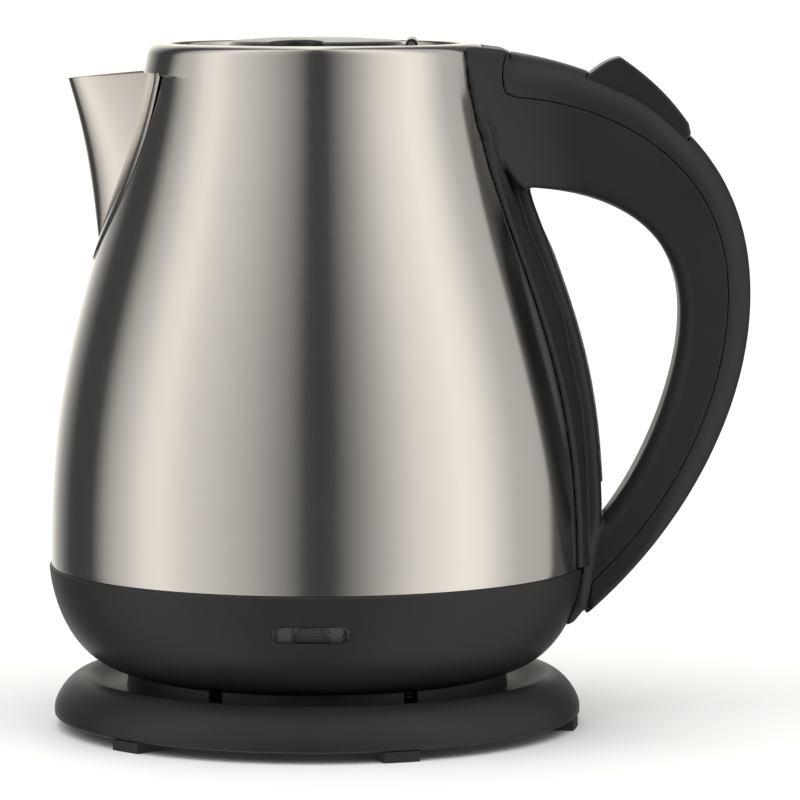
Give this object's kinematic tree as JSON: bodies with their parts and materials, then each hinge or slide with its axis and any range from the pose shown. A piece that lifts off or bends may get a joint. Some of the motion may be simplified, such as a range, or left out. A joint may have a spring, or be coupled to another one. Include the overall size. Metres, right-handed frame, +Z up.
{
  "type": "electric kettle",
  "caption": "Cordless electric kettle: brushed steel jug with an open spout, hinged lid, hollow handle with a rocker switch and water gauge, on a round power base it turns on and lifts off.",
  "frame": {"origin": "on the surface that the base stands on, at the jug's upright axis", "axes": "+Z up, +X towards the handle, -X towards the spout, -Y towards the side with the lamp window"},
  "size_m": [0.225, 0.1722, 0.221],
  "materials": {
    "black_plastic": "satin moulded",
    "dark_plastic": "satin moulded",
    "rubber": "matt",
    "brushed_steel": "brushed round the jug",
    "plain_steel": "satin",
    "brass": "satin",
    "aluminium": "satin",
    "element_metal": "oxidised",
    "white_plastic": "satin moulded",
    "clear_plastic": "clear",
    "lamp_glass": "clear",
    "wire_sleeve": "satin"
  },
  "bodies": {
    "base": {"base_cover": "black_plastic", "base_plate": "dark_plastic", "rubber_feet": "rubber", "base_screws": "plain_steel", "base_connector": "dark_plastic", "base_contacts": "brass", "cord_inlet": "rubber"},
    "pin": {"centre_pin": "brass"},
    "jug": {"jug_shell": "brushed_steel", "spout": "brushed_steel", "spout_filter": "dark_plastic", "lid_ring": "dark_plastic", "floor_plate": "plain_steel", "floor_seal": "rubber", "heat_spreader": "aluminium", "heating_element": "element_metal", "control_unit": "white_plastic", "bimetal_disc": "aluminium", "jug_connector": "dark_plastic", "jug_contact": "brass", "bowl": "black_plastic", "bowl_plate": "dark_plastic", "bowl_screws": "plain_steel", "lamp_lens": "clear_plastic", "lamp_bulb": "lamp_glass", "lamp_holder": "white_plastic", "handle_frame": "black_plastic", "handle_cover": "black_plastic", "gauge_window": "clear_plastic", "gauge_gasket": "rubber", "steam_switch": "white_plastic", "switch_wires": "wire_sleeve", "handle_screws": "plain_steel", "lid_pin": "plain_steel", "rocker_pin": "plain_steel"},
    "lid": {"lid_cover": "dark_plastic", "lid_plate": "plain_steel", "lid_seal": "rubber", "lid_screws": "plain_steel"},
    "rocker": {"rocker": "dark_plastic"}
  },
  "joints": [
    {"name": "jug_swivel", "type": "hinge", "parent": "base", "child": "pin", "pos_m": [0, 0, 0.02], "axis": [0, 0, 1], "continuous": true},
    {"name": "jug_lift", "type": "slide", "parent": "pin", "child": "jug", "axis": [0, 0, 1], "range_m": [0, 0.06]},
    {"name": "lid_hinge", "type": "hinge", "parent": "jug", "child": "lid", "pos_m": [0.0305, 0, 0.2187], "axis": [0, 1, 0], "range_deg": [0, 85]},
    {"name": "rocker_press", "type": "hinge", "parent": "jug", "child": "rocker", "pos_m": [0.1034, 0, 0.1974], "axis": [0, -1, 0], "range_deg": [0, 7]}
  ]
}
